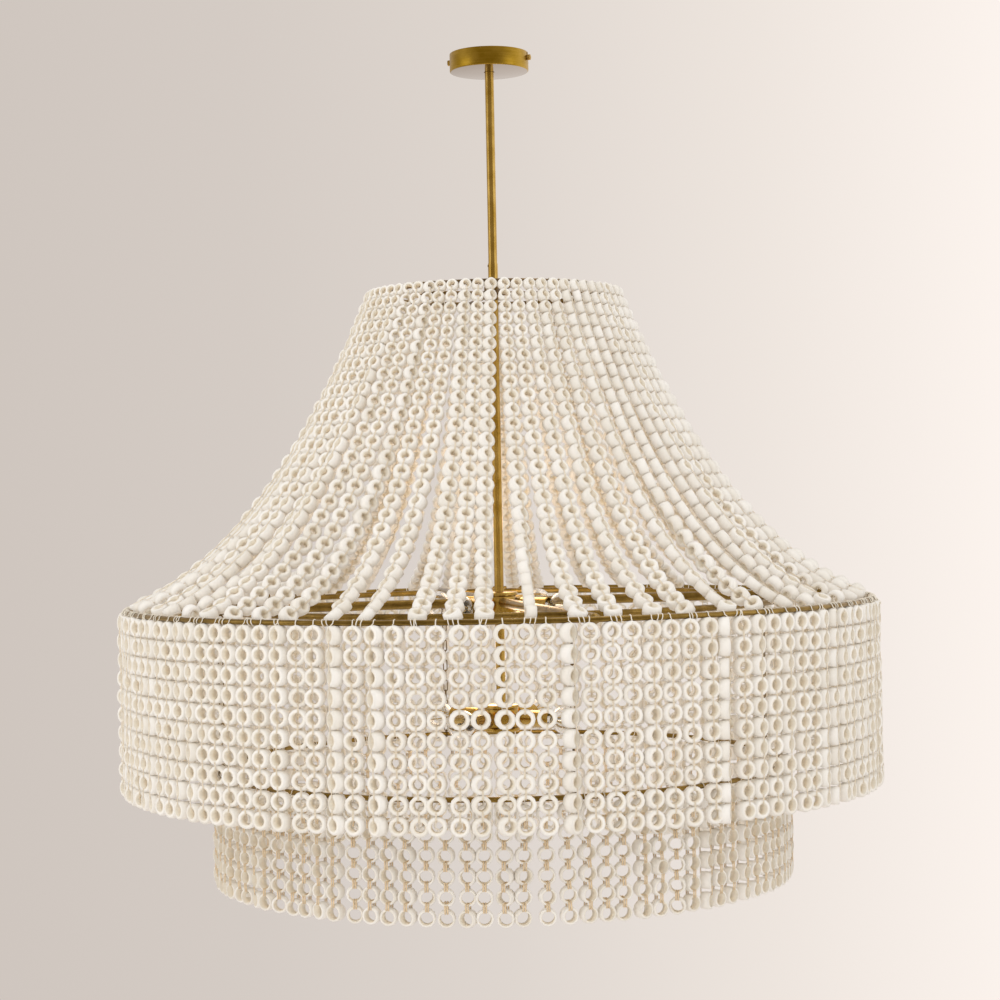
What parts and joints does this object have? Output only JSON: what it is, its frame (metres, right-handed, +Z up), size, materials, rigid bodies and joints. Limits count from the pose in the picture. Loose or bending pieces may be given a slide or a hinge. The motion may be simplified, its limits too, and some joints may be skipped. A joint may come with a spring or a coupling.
{
  "type": "beaded chandelier",
  "caption": "Bell-shaped ceiling light: long bead strands swoop from a small ring to a wide brass ring, above two round bead skirts, on a straight downrod.",
  "frame": {"origin": "on the rod's axis in the plane of the ceiling, where the bracket's top face lies", "axes": "+Z up along the rod, -Y towards the front as pictured, +X to its right"},
  "size_m": [1.2072, 1.2072, 1.319],
  "materials": {
    "brass": "satin",
    "dark_brass": "antique",
    "steel": "zinc plated",
    "beads": "painted cream",
    "glass": "clear"
  },
  "bodies": {
    "frame": {"ceiling_bracket": "steel", "ceiling_screw_1": "steel", "ceiling_screw_2": "steel", "rod_lock_nut": "steel", "rod_upper": "brass", "rod_middle": "brass", "rod_lower": "brass", "top_hub": "dark_brass", "top_arm_1": "dark_brass", "top_arm_2": "dark_brass", "top_arm_3": "dark_brass", "top_arm_4": "dark_brass", "upper_hub": "brass", "upper_hub_cap": "brass", "spoke_1": "brass", "spoke_2": "brass", "spoke_3": "brass", "spoke_4": "brass", "inner_ring_1": "brass", "inner_ring_2": "brass", "inner_ring_3": "brass", "inner_ring_4": "brass", "lower_hub": "brass", "lower_hub_cap": "brass", "lower_hub_cover": "brass", "hub_cap_nut": "brass", "upper_holder_1": "brass", "upper_bulb_1": "glass", "lower_holder_1": "brass", "lower_bulb_1": "glass", "upper_holder_2": "brass", "upper_bulb_2": "glass", "lower_holder_2": "brass", "lower_bulb_2": "glass", "upper_holder_3": "brass", "upper_bulb_3": "glass", "lower_holder_3": "brass", "lower_bulb_3": "glass", "upper_holder_4": "brass", "upper_bulb_4": "glass", "lower_holder_4": "brass", "lower_bulb_4": "glass", "main_ring_skirt": "beads", "top_ring_swag": "beads"},
    "canopy": {"canopy": "brass"},
    "canopy_screw_right": {"canopy_screw_right": "brass"},
    "canopy_screw_left": {"canopy_screw_left": "brass"},
    "lower_tier": {"lower_ring_skirt": "beads"},
    "chain_1": {"chain_1": "dark_brass"},
    "chain_2": {"chain_2": "dark_brass"},
    "chain_3": {"chain_3": "dark_brass"},
    "chain_4": {"chain_4": "dark_brass"}
  },
  "joints": [
    {"name": "canopy_drop", "type": "slide", "parent": "frame", "child": "canopy", "axis": [0, 0, -1], "range_m": [0, 0.335]},
    {"name": "screw_right_out", "type": "slide", "parent": "frame", "child": "canopy_screw_right", "axis": [0.9659, -0.2588, 0], "range_m": [0, 0.005]},
    {"name": "screw_left_out", "type": "slide", "parent": "frame", "child": "canopy_screw_left", "axis": [-0.9659, 0.2588, 0], "range_m": [0, 0.005]},
    {"name": "tier_sway", "type": "hinge", "parent": "frame", "child": "chain_1", "pos_m": [0.101, -0.43749, -0.9008], "axis": [0.225, -0.9744, 0], "range_deg": [-10, 10]},
    {"name": "chain_2_sway", "type": "hinge", "parent": "frame", "child": "chain_2", "pos_m": [0.43749, 0.101, -0.9008], "axis": [0.225, -0.9744, 0], "range_deg": [-10, 10]},
    {"name": "chain_3_sway", "type": "hinge", "parent": "frame", "child": "chain_3", "pos_m": [-0.101, 0.43749, -0.9008], "axis": [0.225, -0.9744, 0], "range_deg": [-10, 10]},
    {"name": "chain_4_sway", "type": "hinge", "parent": "frame", "child": "chain_4", "pos_m": [-0.43749, -0.101, -0.9008], "axis": [0.225, -0.9744, 0], "range_deg": [-10, 10]},
    {"name": "tier_level", "type": "hinge", "parent": "chain_1", "child": "lower_tier", "pos_m": [0.101, -0.43749, -1.141], "axis": [0.225, -0.9744, 0], "range_deg": [-10, 10]}
  ],
  "couplings": [
    {"joint": "chain_2_sway", "follows": "tier_sway", "ratio": 1},
    {"joint": "chain_3_sway", "follows": "tier_sway", "ratio": 1},
    {"joint": "chain_4_sway", "follows": "tier_sway", "ratio": 1},
    {"joint": "tier_level", "follows": "tier_sway", "ratio": -1}
  ]
}
